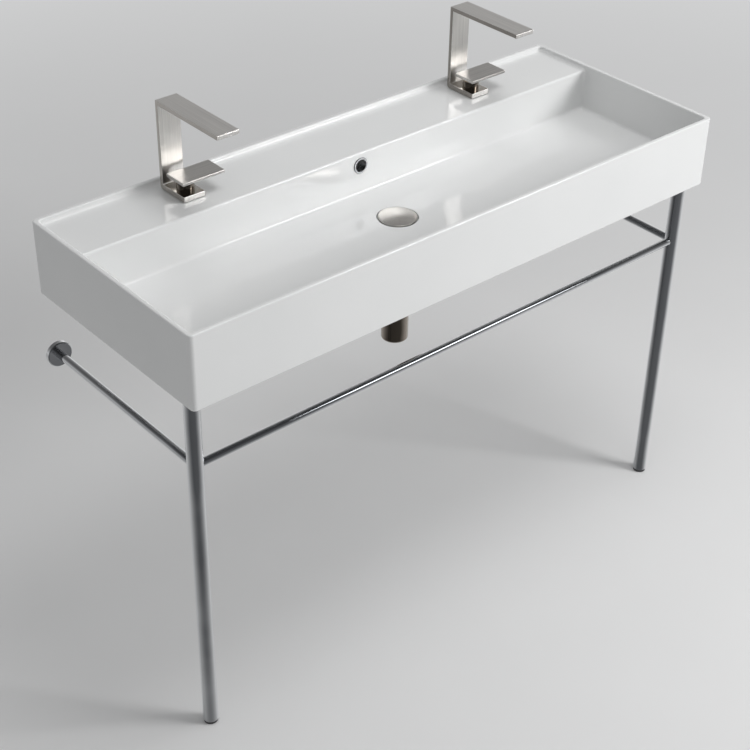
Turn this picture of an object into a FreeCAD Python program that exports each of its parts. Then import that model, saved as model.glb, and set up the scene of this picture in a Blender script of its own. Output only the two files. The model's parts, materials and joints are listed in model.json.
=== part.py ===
import FreeCAD, Part
import math
import os

# Console bathroom sink: ceramic basin on two tube legs with a towel rail and two lever mixers.
# Millimetres. +X to the right, +Y towards the wall, +Z up, origin on the floor under the basin's middle.

# Basin, outside
basin_width = 1210.0
basin_depth = 460.0
basin_height = 140.0
rim_height = 860.0
outer_corner_radius = 9.0
rim_edge_radius = 2.5

# Basin, inside
rim_wall = 9.0
deck_length = 138.0
deck_drop = 10.0
bowl_depth = 94.0
dish_fall = 6.0
dish_margin = 30.0
inner_corner_radius = 6.0
deck_back_radius = inner_corner_radius + 1.0
floor_radius = inner_corner_radius + 1.0
deck_edge_radius = 4.0

# Basin, underside
ceramic_wall = 12.0
back_skirt = 14.0
leg_block = 60.0
wall_bolt_spacing = 840.0
wall_bolt_hole_radius = 7.0
wall_bolt_drop = 62.0
duct_half_width = 34.0
duct_depth = 28.0
duct_wall = 9.0

# Waste
drain_from_wall = 244.0
drain_thread_radius = 20.95
drain_wall = 3.0
tail_show = 13.5
drain_hole_clearance = 1.55
drain_boss_wall = 16.0
drain_boss_depth = 36.0
flange_radius = 33.0
flange_thickness = 3.0
flange_recess = 6.0
gasket_thickness = 1.5
cap_radius = 36.0
cap_clearance = 1.5
cap_edge = 2.5
cap_dome = 3.0
cap_seal_thickness = 2.0
cap_seal_width = 4.0
cap_stem_radius = 5.0
cap_stem_length = 62.0
guide_wall = 3.0
guide_height = 30.0
guide_gap = 6.0
guide_arm = 4.0
guide_arms = 3
running_clearance = 0.05
rest_clearance = 0.3
waste_washer_radius = 32.0
waste_washer_thickness = 4.0
back_nut_flats = 52.0
back_nut_height = 14.0
overflow_slot_width = 12.0
overflow_slot_height = 10.0

# Overflow
overflow_drop = 36.0
overflow_hole_radius = 12.0
overflow_ring_radius = 14.5
overflow_ring_proud = 2.0
overflow_ring_wall = 1.5

# Bottle trap
trap_radius = 26.0
trap_wall = 2.0
trap_cup_height = 58.0
trap_head_height = 80.0
trap_edge_radius = 5.0
trap_top_plate = 4.0
cup_spigot = 14.0
cup_seal_thickness = 1.0
waste_pipe_wall = 1.2
tube_clearance = 1.95
tube_in_tail = 22.0
dip_gap = 30.0
tube_show = 11.5
slip_clearance = 0.1
inlet_nut_wall = 5.05
inlet_nut_height = 22.0
nut_lip = 6.0
slip_washer_thickness = 4.0
slip_nut_wall = 4.0
top_nut_height = 18.0
outlet_drop = 30.0
outlet_boss_reach = 12.0
outlet_nut_length = 20.0
outlet_overlap = 10.0
rosette_radius = 35.0
rosette_depth = 10.0
rosette_wall = 1.5

# Stand
leg_radius = 14.0
leg_wall = 1.5
leg_from_side = 22.0
leg_from_front = 38.0
leg_pad_thickness = 2.0
peg_radius = 7.5
peg_length = 20.0
peg_clearance = 0.5
plug_length = 30.0
foot_height = 6.0
foot_radius = 13.0
foot_chamfer = 1.0
foot_stud_radius = 4.0
foot_stud_length = 40.0
foot_insert_length = 25.0
rail_drop = 135.0
rail_radius = 7.5
rail_wall = 1.5
pin_in_rail = 20.0
pin_in_leg = 4.0
plate_radius = 20.0
plate_thickness = 5.0
plate_spigot = 20.0
plate_screw_radius = 2.5
plate_screw_spacing = 26.0
cover_rim = 3.0
cover_depth = 9.0
cover_wall = 2.0
cover_clearance = 1.0
cover_chamfer = 1.5

# Mixers, placed from the axis of the collar on the deck
mixer_spacing = 680.0
mixer_from_wall = 70.0
strip_width = 45.0
strip_thickness = 8.0
base_thickness = 10.0
base_front = 28.0
base_back = 44.0
mixer_height = 168.0
spout_length = 180.0
bend_radius = 6.0
strip_edge_radius = 0.6
channel_thickness = 4.0
channel_width = 30.0
outlet_length = 10.0
outlet_width = 32.0
outlet_depth = 3.0
outlet_proud = 0.5
outlet_from_tip = 6.0
outlet_slots = 5
outlet_slot_width = 3.0
outlet_slot_length = 5.0
base_gasket_thickness = 1.0
base_gasket_margin = 2.0
tap_hole_radius = 17.5
shank_radius = 16.5
shank_length = 53.0
inlet_radius = 5.0
inlet_length = 18.0
inlet_spacing = 16.0
feed_radius = 3.0
clamp_washer_radius = 26.0
clamp_washer_thickness = 4.0
clamp_nut_flats = 42.0
clamp_nut_height = 10.0
cartridge_radius = 13.0
cartridge_depth = 20.0
cartridge_rise = 3.4
collar_radius = 16.0
collar_height = 14.0
turret_radius = 12.0
turret_top_gap = 2.5
pivot_rise = 8.0
pivot_pin_radius = 2.0
pivot_pin_length = 20.0
spindle_width = 8.0
spindle_side_clearance = 0.3
slot_left = 9.0
slot_right = 6.5
lever_rise = 21.0
lever_thickness = 6.0
lever_width = 88.0
lever_depth = 50.0
lever_edge_radius = 0.8
lever_boss_radius = 8.0
lever_boss_height = 4.5
lever_socket_depth = 4.0
grub_radius = 1.5

# Places that follow from the sizes above
wall_y = basin_depth / 2
front_y = -basin_depth / 2
basin_bottom = rim_height - basin_height
inside_half_width = basin_width / 2 - rim_wall
deck_top = rim_height - deck_drop
deck_front_y = wall_y - deck_length
floor_edge_z = rim_height - bowl_depth
floor_z = floor_edge_z - dish_fall
floor_underside = floor_z - ceramic_wall
deck_underside = deck_top - ceramic_wall
drain_y = wall_y - drain_from_wall
drain_hole_radius = drain_thread_radius + drain_hole_clearance
drain_boss_radius = drain_hole_radius + drain_boss_wall
drain_boss_bottom = floor_z - drain_boss_depth
seat_z = floor_z - flange_recess
flange_bottom = seat_z + gasket_thickness
flange_top = flange_bottom + flange_thickness
back_nut_bottom = drain_boss_bottom - waste_washer_thickness - back_nut_height
inlet_nut_bottom = back_nut_bottom - tail_show - inlet_nut_height
inlet_lip_top = inlet_nut_bottom + nut_lip
drain_tail_bottom = inlet_lip_top + slip_washer_thickness
waste_pipe_radius = drain_thread_radius - drain_wall - tube_clearance
inlet_tube_top = drain_tail_bottom + tube_in_tail
inlet_nut_radius = drain_thread_radius + inlet_nut_wall
slip_nut_radius = waste_pipe_radius + trap_wall + slip_nut_wall
overflow_z = rim_height - overflow_drop
duct_bottom = drain_boss_bottom
leg_x = basin_width / 2 - leg_from_side
leg_y = front_y + leg_from_front
leg_top = basin_bottom - leg_pad_thickness
leg_bottom = foot_height + rest_clearance
leg_bore = leg_radius - leg_wall
rail_bore = rail_radius - rail_wall
rail_height = basin_bottom - rail_drop
cover_radius = plate_radius + cover_clearance + cover_rim
mixer_y = wall_y - mixer_from_wall
cap_bottom = flange_top + rest_clearance + cap_seal_thickness
trap_top = inlet_nut_bottom - tube_show - top_nut_height
trap_head_bottom = trap_top - trap_head_height
trap_seam = trap_head_bottom - cup_seal_thickness
trap_bottom_height = trap_seam - trap_cup_height
outlet_z = trap_top - outlet_drop
outlet_boss_y = drain_y + trap_radius + outlet_boss_reach
above = 20.0

up = FreeCAD.Vector(0, 0, 1)
right = FreeCAD.Vector(1, 0, 0)
back = FreeCAD.Vector(0, 1, 0)
sides = {"left": -1, "right": 1}


def box(x0, x1, y0, y1, z0, z1):
    return Part.makeBox(x1 - x0, y1 - y0, z1 - z0, FreeCAD.Vector(x0, y0, z0))


def post(radius, x, y, z0, z1):
    return Part.makeCylinder(radius, z1 - z0, FreeCAD.Vector(x, y, z0), up)


def bar_x(radius, x0, x1, y, z):
    return Part.makeCylinder(radius, x1 - x0, FreeCAD.Vector(x0, y, z), right)


def bar_y(radius, x, y0, y1, z):
    return Part.makeCylinder(radius, y1 - y0, FreeCAD.Vector(x, y0, z), back)


def ring(outer, inner, x, y, z0, z1):
    return post(outer, x, y, z0, z1).cut(post(inner, x, y, z0, z1))


def hex_nut(flats, bore, x, y, z0, z1):
    corner = flats / math.sqrt(3)
    turns = [math.radians(60 * i) for i in range(7)]
    points = [FreeCAD.Vector(x + corner * math.cos(t), y + corner * math.sin(t), z0) for t in turns]
    nut = Part.Face(Part.makePolygon(points)).extrude(up * (z1 - z0))
    return nut.cut(post(bore, x, y, z0, z1))


def upright_edges(solid):
    found = []
    for edge in solid.Edges:
        ends = [v.Point for v in edge.Vertexes]
        if len(ends) == 2 and (ends[0] - ends[1]).cross(up).Length < 1e-6:
            found.append(edge)
    return found


def edges_at_height(solid, z):
    return [e for e in solid.Edges if abs(e.BoundBox.ZMin - z) < 1e-6 and abs(e.BoundBox.ZMax - z) < 1e-6]


def rounded_rectangle(x0, x1, y0, y1, radius, z):
    frame = box(x0, x1, y0, y1, z, z + 1.0)
    frame = frame.makeFillet(radius, upright_edges(frame))
    bottom = [f for f in frame.Faces if f.BoundBox.ZMax < z + 1e-6]
    return bottom[0].OuterWire


def corner_arc(start, corner, end, radius):
    # Arc that rounds a square corner, with the points where it leaves the two lines.
    first = corner + (start - corner).normalize() * radius
    last = corner + (end - corner).normalize() * radius
    centre = first + last - corner
    middle = centre + (corner - centre).normalize() * radius
    return first, Part.Arc(first, middle, last).toShape(), last


def rounded_profile(points, radii):
    # Closed outline in the YZ plane; a radius of zero leaves its corner sharp.
    count = len(points)
    corners = []
    for i in range(count):
        if radii[i] > 0:
            corners.append(corner_arc(points[i - 1], points[i], points[(i + 1) % count], radii[i]))
        else:
            corners.append((points[i], None, points[i]))
    edges = []
    for i in range(count):
        if corners[i][1]:
            edges.append(corners[i][1])
        edges.append(Part.LineSegment(corners[i][2], corners[(i + 1) % count][0]).toShape())
    return Part.Face(Part.Wire(edges))


def inside_hollow():
    # Bowl and deck as one run of a single profile, with its two ends rounded.
    top = rim_height + above
    outline = [(front_y + rim_wall, top, 0),
               (front_y + rim_wall, floor_edge_z, floor_radius),
               (deck_front_y, floor_edge_z, floor_radius),
               (deck_front_y, deck_top, deck_edge_radius),
               (wall_y - rim_wall, deck_top, deck_back_radius),
               (wall_y - rim_wall, top, 0)]
    points = [FreeCAD.Vector(-inside_half_width, y, z) for y, z, r in outline]
    face = rounded_profile(points, [r for y, z, r in outline])
    hollow = face.extrude(right * (2 * inside_half_width))
    ends = []
    for edge in hollow.Edges:
        limits = edge.BoundBox
        at_end = abs(limits.XMax - limits.XMin) < 1e-6
        if at_end and limits.ZMin < top - 1e-6:
            ends.append(edge)
    return hollow.makeFillet(inner_corner_radius, ends)


def dish():
    # Shallow fall of the bowl floor towards the waste.
    reach = cap_radius + floor_radius
    wide = rounded_rectangle(-inside_half_width + dish_margin, inside_half_width - dish_margin,
                             front_y + rim_wall + dish_margin, deck_front_y - dish_margin,
                             floor_radius, floor_edge_z)
    narrow = rounded_rectangle(-reach, reach, drain_y - reach, drain_y + reach, floor_radius, floor_z)
    return Part.makeLoft([wide, narrow], True, True)


def overflow_duct(inset, bottom):
    # Upright duct behind the bowl and its foot that runs forward to the waste.
    half = duct_half_width - inset
    wall_back = deck_front_y + ceramic_wall
    tall = box(-half, half, wall_back, wall_back + duct_depth - inset, bottom, deck_underside)
    low = box(-half, half, drain_y, wall_back + duct_depth - inset, bottom, floor_underside)
    return tall.fuse(low)


def underside_hollow():
    side = basin_width / 2 - ceramic_wall
    skirt_y = wall_y - back_skirt
    shallow = box(-side, side, front_y + ceramic_wall, skirt_y, basin_bottom - above, floor_underside)
    deep = box(-side, side, deck_front_y + ceramic_wall, skirt_y, basin_bottom, deck_underside)
    hollow = shallow.fuse(deep)
    keep = [post(drain_boss_radius, 0, drain_y, drain_boss_bottom, floor_underside),
            overflow_duct(0, duct_bottom)]
    for side_sign in sides.values():
        near = side_sign * (leg_x + leg_radius + above)
        far = side_sign * (leg_x - leg_block / 2)
        block_y = leg_y + leg_block / 2
        keep.append(box(min(near, far), max(near, far), front_y, block_y, basin_bottom, floor_underside))
    for solid in keep:
        hollow = hollow.cut(solid)
    return hollow


def inner_rim_edges(body):
    reach_x = inside_half_width + 1e-3
    low_y = front_y + rim_wall - 1e-3
    high_y = wall_y - rim_wall + 1e-3
    found = []
    for edge in edges_at_height(body, rim_height):
        limits = edge.BoundBox
        if max(-limits.XMin, limits.XMax) < reach_x and limits.YMin > low_y and limits.YMax < high_y:
            found.append(edge)
    return found


def basin():
    block = box(-basin_width / 2, basin_width / 2, front_y, wall_y, basin_bottom, rim_height)
    block = block.makeFillet(outer_corner_radius, upright_edges(block))
    rounded = edges_at_height(block, rim_height) + edges_at_height(block, basin_bottom)
    block = block.makeFillet(rim_edge_radius, rounded)
    body = block.cut(inside_hollow()).cut(dish()).cut(underside_hollow())
    body = body.makeFillet(rim_edge_radius, inner_rim_edges(body))
    channel_bottom = duct_bottom + duct_wall
    channel = overflow_duct(duct_wall, channel_bottom)
    channel = channel.cut(post(drain_hole_radius, 0, drain_y, channel_bottom, floor_underside))
    channel_top = overflow_z + overflow_hole_radius
    roof = box(-duct_half_width, duct_half_width, front_y, wall_y, channel_top, rim_height)
    body = body.cut(channel.cut(roof))
    body = body.cut(post(drain_hole_radius, 0, drain_y, basin_bottom, rim_height))
    body = body.cut(post(cap_radius + cap_clearance, 0, drain_y, seat_z, rim_height))
    wall_back = deck_front_y + ceramic_wall
    body = body.cut(bar_y(overflow_hole_radius, 0, deck_front_y - above, wall_back, overflow_z))
    for side_sign in sides.values():
        tap_x = side_sign * mixer_spacing / 2
        body = body.cut(post(tap_hole_radius, tap_x, mixer_y, deck_underside, rim_height))
        bolt_x = side_sign * wall_bolt_spacing / 2
        bolt_z = rim_height - wall_bolt_drop
        body = body.cut(bar_y(wall_bolt_hole_radius, bolt_x, wall_y - back_skirt, wall_y, bolt_z))
        hole_top = basin_bottom + peg_length - leg_pad_thickness + peg_clearance
        hole = post(peg_radius + peg_clearance, side_sign * leg_x, leg_y, basin_bottom - above, hole_top)
        body = body.cut(hole)
    return body


def overflow_ring():
    face = bar_y(overflow_ring_radius, 0, deck_front_y - overflow_ring_proud, deck_front_y, overflow_z)
    face = face.makeFillet(overflow_ring_proud / 2, [e for e in face.Edges
                           if e.BoundBox.YMax < deck_front_y - overflow_ring_proud + 1e-6])
    sleeve = bar_y(overflow_hole_radius, 0, deck_front_y, deck_front_y + ceramic_wall, overflow_z)
    bore = bar_y(overflow_hole_radius - overflow_ring_wall, 0, deck_front_y - above, wall_y, overflow_z)
    return face.fuse(sleeve).removeSplitter().cut(bore)


def drain_body():
    flange = post(flange_radius, 0, drain_y, flange_bottom, flange_top)
    flange = flange.makeFillet(flange_thickness / 3, edges_at_height(flange, flange_top))
    body = flange.fuse(post(drain_thread_radius, 0, drain_y, drain_tail_bottom, flange_bottom))
    body = body.cut(post(drain_thread_radius - drain_wall, 0, drain_y, drain_tail_bottom, flange_top))
    slot_z = duct_bottom + duct_wall
    slot = box(-overflow_slot_width / 2, overflow_slot_width / 2, drain_y - drain_hole_radius,
               drain_y + drain_hole_radius, slot_z, slot_z + overflow_slot_height)
    return body.cut(slot)


def push_guide():
    # Hub that guides the cap's stem, held in the drain by three arms.
    bottom = inlet_tube_top + guide_gap
    top = bottom + guide_height
    hub_bore = cap_stem_radius + running_clearance
    guide = post(hub_bore + guide_wall, 0, drain_y, bottom, top)
    inside = drain_thread_radius - drain_wall
    for i in range(guide_arms):
        arm = box(0, inside, -guide_arm / 2, guide_arm / 2, bottom, top)
        arm.rotate(FreeCAD.Vector(0, 0, 0), up, 360 / guide_arms * i + 90)
        arm.translate(back * drain_y)
        guide = guide.fuse(arm)
    guide = guide.common(post(inside, 0, drain_y, bottom, top))
    return guide.cut(post(hub_bore, 0, drain_y, bottom, top))


def drain_cap():
    dome_radius = (cap_radius ** 2 + cap_dome ** 2) / (2 * cap_dome)
    cap = post(cap_radius, 0, drain_y, cap_bottom, cap_bottom + cap_edge + cap_dome)
    centre = FreeCAD.Vector(0, drain_y, cap_bottom + cap_edge + cap_dome - dome_radius)
    cap = cap.common(Part.makeSphere(dome_radius, centre))
    stem = post(cap_stem_radius, 0, drain_y, cap_bottom - cap_stem_length, cap_bottom)
    return cap.fuse(stem).removeSplitter()


def cap_seal():
    outer = drain_thread_radius + cap_seal_width
    return ring(outer, outer - cap_seal_width, 0, drain_y, cap_bottom - cap_seal_thickness, cap_bottom)


def drain_gasket():
    return ring(flange_radius, drain_thread_radius, 0, drain_y, seat_z, flange_bottom)


def waste_washer():
    return ring(waste_washer_radius, drain_thread_radius, 0, drain_y,
                drain_boss_bottom - waste_washer_thickness, drain_boss_bottom)


def back_nut():
    return hex_nut(back_nut_flats, drain_thread_radius, 0, drain_y,
                   back_nut_bottom, back_nut_bottom + back_nut_height)


def inlet_nut():
    top = inlet_nut_bottom + inlet_nut_height
    nut = post(inlet_nut_radius, 0, drain_y, inlet_nut_bottom, top)
    nut = nut.cut(post(drain_thread_radius, 0, drain_y, inlet_lip_top, top))
    return nut.cut(post(waste_pipe_radius + slip_clearance, 0, drain_y, inlet_nut_bottom, inlet_lip_top))


def inlet_washer():
    return ring(drain_thread_radius, waste_pipe_radius, 0, drain_y, inlet_lip_top, drain_tail_bottom)


def inlet_tube():
    bottom = trap_bottom_height + dip_gap
    return ring(waste_pipe_radius, waste_pipe_radius - waste_pipe_wall, 0, drain_y, bottom, inlet_tube_top)


def trap_top_nut():
    return ring(slip_nut_radius, waste_pipe_radius, 0, drain_y, trap_top, trap_top + top_nut_height)


def trap_head():
    inside = trap_radius - trap_wall
    head = post(trap_radius, 0, drain_y, trap_head_bottom, trap_top)
    boss_radius = waste_pipe_radius + trap_wall
    head = head.fuse(bar_y(boss_radius, 0, drain_y, outlet_boss_y, outlet_z))
    spigot = post(inside - slip_clearance, 0, drain_y, trap_seam - cup_spigot, trap_head_bottom)
    head = head.fuse(spigot)
    chamber_radius = inside - slip_clearance - trap_wall
    head = head.cut(post(chamber_radius, 0, drain_y, trap_seam - cup_spigot, trap_top - trap_top_plate))
    head = head.cut(post(waste_pipe_radius + slip_clearance, 0, drain_y, trap_head_bottom, trap_top))
    socket = bar_y(waste_pipe_radius, 0, outlet_boss_y - outlet_overlap, outlet_boss_y, outlet_z)
    way = bar_y(waste_pipe_radius - trap_wall, 0, drain_y, outlet_boss_y, outlet_z)
    way = way.cut(post(waste_pipe_radius + slip_clearance, 0, drain_y, trap_head_bottom, trap_top))
    return head.cut(socket).cut(way)


def trap_seal():
    bore = trap_radius - trap_wall - slip_clearance
    return ring(trap_radius, bore, 0, drain_y, trap_seam, trap_head_bottom)


def trap_cup():
    cup = post(trap_radius, 0, drain_y, trap_bottom_height, trap_seam)
    cup = cup.makeFillet(trap_edge_radius, edges_at_height(cup, trap_bottom_height))
    return cup.cut(post(trap_radius - trap_wall, 0, drain_y, trap_bottom_height + trap_wall, trap_seam))


def outlet_washer():
    y1 = outlet_boss_y + slip_washer_thickness
    washer = bar_y(waste_pipe_radius + trap_wall, 0, outlet_boss_y, y1, outlet_z)
    return washer.cut(bar_y(waste_pipe_radius, 0, outlet_boss_y, y1, outlet_z))


def outlet_nut():
    lip_start = outlet_boss_y + slip_washer_thickness
    nut_end = lip_start + nut_lip
    nut = bar_y(slip_nut_radius, 0, nut_end - outlet_nut_length, nut_end, outlet_z)
    nut = nut.cut(bar_y(waste_pipe_radius + trap_wall, 0, nut_end - outlet_nut_length, lip_start, outlet_z))
    return nut.cut(bar_y(waste_pipe_radius + slip_clearance, 0, lip_start, nut_end, outlet_z))


def outlet_pipe():
    start = outlet_boss_y - outlet_overlap
    pipe = bar_y(waste_pipe_radius, 0, start, wall_y, outlet_z)
    return pipe.cut(bar_y(waste_pipe_radius - waste_pipe_wall, 0, start, wall_y, outlet_z))


def wall_rosette():
    rosette = bar_y(rosette_radius, 0, wall_y - rosette_depth, wall_y, outlet_z)
    front = [e for e in rosette.Edges if e.BoundBox.YMax < wall_y - rosette_depth + 1e-6]
    rosette = rosette.makeFillet(rosette_depth / 2, front)
    hollow_radius = rosette_radius - rosette_wall - rosette_depth / 2
    hollow = bar_y(hollow_radius, 0, wall_y - rosette_depth + rosette_wall, wall_y, outlet_z)
    return rosette.cut(hollow).cut(bar_y(waste_pipe_radius + slip_clearance, 0, 0, wall_y, outlet_z))


def leg(side_sign):
    x = side_sign * leg_x
    tube = ring(leg_radius, leg_bore, x, leg_y, leg_bottom, leg_top)
    inner_x = x - side_sign * 2 * leg_radius
    tube = tube.cut(bar_x(rail_bore, min(x, inner_x), max(x, inner_x), leg_y, rail_height))
    return tube.cut(bar_y(rail_bore, x, leg_y, leg_y + 2 * leg_radius, rail_height))


def leg_plugs():
    plugs = []
    for side_sign in sides.values():
        x = side_sign * leg_x
        plug = post(leg_bore, x, leg_y, leg_top - plug_length, leg_top)
        plug = plug.fuse(post(peg_radius, x, leg_y, leg_top, leg_top + peg_length)).removeSplitter()
        plugs.append(plug.cut(rail_pins()))
    return Part.makeCompound(plugs)


def leg_pads():
    return Part.makeCompound([ring(leg_radius, peg_radius, side_sign * leg_x, leg_y, leg_top, basin_bottom)
                              for side_sign in sides.values()])


def foot_inserts():
    bore = foot_stud_radius + running_clearance
    return Part.makeCompound([ring(leg_bore, bore, side_sign * leg_x, leg_y, leg_bottom,
                                   leg_bottom + foot_insert_length) for side_sign in sides.values()])


def foot(side_sign):
    x = side_sign * leg_x
    pad = post(foot_radius, x, leg_y, 0, foot_height)
    pad = pad.makeChamfer(foot_chamfer, edges_at_height(pad, 0))
    stud = post(foot_stud_radius, x, leg_y, foot_height, foot_height + foot_stud_length)
    return pad.fuse(stud).removeSplitter()


def front_rail():
    rail = bar_x(rail_radius, -leg_x, leg_x, leg_y, rail_height)
    rail = rail.cut(bar_x(rail_bore, -leg_x, leg_x, leg_y, rail_height))
    for side_sign in sides.values():
        rail = rail.cut(post(leg_radius, side_sign * leg_x, leg_y, leg_bottom, leg_top))
    return rail


def side_rail(side_sign):
    x = side_sign * leg_x
    end = wall_y - plate_thickness
    rail = bar_y(rail_radius, x, leg_y, end, rail_height).cut(bar_y(rail_bore, x, leg_y, end, rail_height))
    return rail.cut(post(leg_radius, x, leg_y, leg_bottom, leg_top))


def rail_pins():
    # Pins that hold the rail ends to the legs, two at each leg.
    near = leg_bore - pin_in_leg
    far = leg_radius + pin_in_rail
    pins = []
    for side_sign in sides.values():
        x = side_sign * leg_x
        ends = [x - side_sign * near, x - side_sign * far]
        pins.append(bar_x(rail_bore, min(ends), max(ends), leg_y, rail_height))
        pins.append(bar_y(rail_bore, x, leg_y + near, leg_y + far, rail_height))
    return Part.makeCompound(pins)


def wall_plates():
    plates = []
    for side_sign in sides.values():
        x = side_sign * leg_x
        plate = bar_y(plate_radius, x, wall_y - plate_thickness, wall_y, rail_height)
        for up_down in sides.values():
            z = rail_height + up_down * plate_screw_spacing / 2
            plate = plate.cut(bar_y(plate_screw_radius, x, wall_y - plate_thickness, wall_y, z))
        start = wall_y - plate_thickness - plate_spigot
        spigot = bar_y(rail_bore, x, start, wall_y - plate_thickness, rail_height)
        plates.append(plate.fuse(spigot).removeSplitter())
    return Part.makeCompound(plates)


def flange_cover(side_sign):
    x = side_sign * leg_x
    cover = bar_y(cover_radius, x, wall_y - cover_depth, wall_y, rail_height)
    front = [e for e in cover.Edges if e.BoundBox.YMax < wall_y - cover_depth + 1e-6]
    cover = cover.makeChamfer(cover_chamfer, front)
    hollow_front = wall_y - cover_depth + cover_wall
    cover = cover.cut(bar_y(plate_radius + cover_clearance, x, hollow_front, wall_y, rail_height))
    return cover.cut(bar_y(rail_radius + slip_clearance, x, wall_y - cover_depth, wall_y, rail_height))


# Heights in a mixer, counted from the deck
base_bottom = base_gasket_thickness
base_top = base_bottom + base_thickness
pivot_z = base_top + pivot_rise
collar_top = base_top + collar_height
cartridge_top = base_top + cartridge_rise
turret_bottom = cartridge_top + rest_clearance
turret_top = collar_top - turret_top_gap
lever_bottom = base_top + lever_rise
lever_top = lever_bottom + lever_thickness
spout_tip_y = base_back - spout_length
strip_half = strip_width / 2
outlet_back_y = spout_tip_y + outlet_from_tip + outlet_length


def mixer_body():
    # Flat strip bent into base, column and spout, with the water way inside it.
    spout_bottom = mixer_height - strip_thickness
    outline = [(-base_front, base_bottom, 0),
               (base_back, base_bottom, bend_radius),
               (base_back, mixer_height, 0),
               (spout_tip_y, mixer_height, 0),
               (spout_tip_y, spout_bottom, 0),
               (base_back - strip_thickness, spout_bottom, 0),
               (base_back - strip_thickness, base_top, 0),
               (-base_front, base_top, 0)]
    points = [FreeCAD.Vector(-strip_half, y, z) for y, z, r in outline]
    strip = rounded_profile(points, [r for y, z, r in outline]).extrude(right * strip_width)
    long_edges = [e for e in strip.Edges if e.BoundBox.XLength > strip_width / 2
                  and (e.BoundBox.YMin < 0 or e.BoundBox.ZMax > spout_bottom + 1e-6)]
    strip = strip.makeFillet(strip_edge_radius, long_edges)
    half = channel_width / 2
    skin = (strip_thickness - channel_thickness) / 2
    floor = base_bottom + (base_thickness - channel_thickness) / 2
    run_back = base_back - skin
    run_front = run_back - channel_thickness
    way = box(-half, half, cartridge_radius / 2, run_back, floor, floor + channel_thickness)
    way = way.fuse(box(-half, half, run_front, run_back, floor, mixer_height - skin))
    outlet_y = spout_tip_y + outlet_from_tip
    way = way.fuse(box(-half, half, outlet_y, run_back, spout_bottom + skin, mixer_height - skin))
    strip = strip.cut(way)
    strip = strip.cut(post(cartridge_radius, 0, 0, base_bottom, base_top))
    pocket = box(-outlet_width / 2, outlet_width / 2, outlet_y, outlet_back_y,
                 spout_bottom, spout_bottom + outlet_depth)
    return strip.cut(pocket)


def spout_outlet():
    spout_bottom = mixer_height - strip_thickness
    front = spout_tip_y + outlet_from_tip
    insert = box(-outlet_width / 2, outlet_width / 2, front, outlet_back_y,
                 spout_bottom - outlet_proud, spout_bottom + outlet_depth)
    pitch = outlet_width / (outlet_slots + 1)
    rib = (outlet_length - outlet_slot_length) / 2
    for i in range(outlet_slots):
        x = -outlet_width / 2 + pitch * (i + 1)
        slot = box(x - outlet_slot_width / 2, x + outlet_slot_width / 2, front + rib, outlet_back_y - rib,
                   spout_bottom - outlet_proud, spout_bottom + outlet_depth)
        insert = insert.cut(slot)
    return insert


def base_gasket():
    half = strip_half - base_gasket_margin
    pad_front = -base_front + base_gasket_margin
    pad = box(-half, half, pad_front, base_back - bend_radius, 0, base_gasket_thickness)
    return pad.cut(post(tap_hole_radius, 0, 0, 0, base_gasket_thickness))


def mixer_shank():
    bottom = base_bottom - shank_length
    shank = post(shank_radius, 0, 0, bottom, base_bottom)
    shank = shank.cut(post(cartridge_radius, 0, 0, base_bottom - cartridge_depth, base_bottom))
    for side_sign in sides.values():
        x = side_sign * inlet_spacing / 2
        shank = shank.cut(post(inlet_radius, x, 0, bottom, bottom + inlet_length))
        shank = shank.cut(post(feed_radius, x, 0, bottom, base_bottom - cartridge_depth))
    return shank


def clamp_washer():
    bottom = -ceramic_wall - clamp_washer_thickness
    return ring(clamp_washer_radius, shank_radius, 0, 0, bottom, -ceramic_wall)


def clamp_nut():
    top = -ceramic_wall - clamp_washer_thickness
    return hex_nut(clamp_nut_flats, shank_radius, 0, 0, top - clamp_nut_height, top)


def cartridge():
    body = post(cartridge_radius, 0, 0, base_bottom - cartridge_depth, cartridge_top)
    for side_sign in sides.values():
        x = side_sign * inlet_spacing / 2
        body = body.cut(post(feed_radius, x, 0, base_bottom - cartridge_depth, base_bottom))
    return body


def collar():
    body = post(collar_radius, 0, 0, base_top, collar_top)
    body = body.makeFillet(strip_edge_radius, edges_at_height(body, collar_top))
    body = body.cut(post(cartridge_radius, 0, 0, base_top, cartridge_top))
    return body.cut(post(turret_radius + running_clearance, 0, 0, cartridge_top, collar_top))


def turret():
    body = post(turret_radius, 0, 0, turret_bottom, turret_top)
    half = spindle_width / 2 + spindle_side_clearance
    body = body.cut(box(-slot_left, slot_right, -half, half, turret_bottom, turret_top))
    return body.cut(bar_y(pivot_pin_radius, 0, -turret_radius, turret_radius, pivot_z))


def pivot_pin():
    return bar_y(pivot_pin_radius, 0, -pivot_pin_length / 2, pivot_pin_length / 2, pivot_z)


def spindle():
    half = spindle_width / 2
    eye = bar_y(half, 0, -half, half, pivot_z)
    blade = box(-half, half, -half, half, pivot_z, lever_bottom + lever_socket_depth)
    body = eye.fuse(blade).removeSplitter()
    return body.cut(bar_y(pivot_pin_radius + running_clearance, 0, -half, half, pivot_z))


def lever():
    plate = box(-strip_half, lever_width - strip_half, -base_front, lever_depth - base_front,
                lever_bottom, lever_top)
    plate = plate.makeFillet(lever_edge_radius, plate.Edges)
    boss_bottom = lever_bottom - lever_boss_height
    plate = plate.fuse(post(lever_boss_radius, 0, 0, boss_bottom, lever_bottom))
    half = spindle_width / 2
    plate = plate.cut(box(-half, half, -half, half, boss_bottom, lever_bottom + lever_socket_depth))
    return plate.cut(bar_y(grub_radius, 0, half, lever_boss_radius, lever_bottom - lever_boss_height / 2))


def lever_grub():
    return bar_y(grub_radius, 0, spindle_width / 2, lever_boss_radius, lever_bottom - lever_boss_height / 2)


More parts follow.
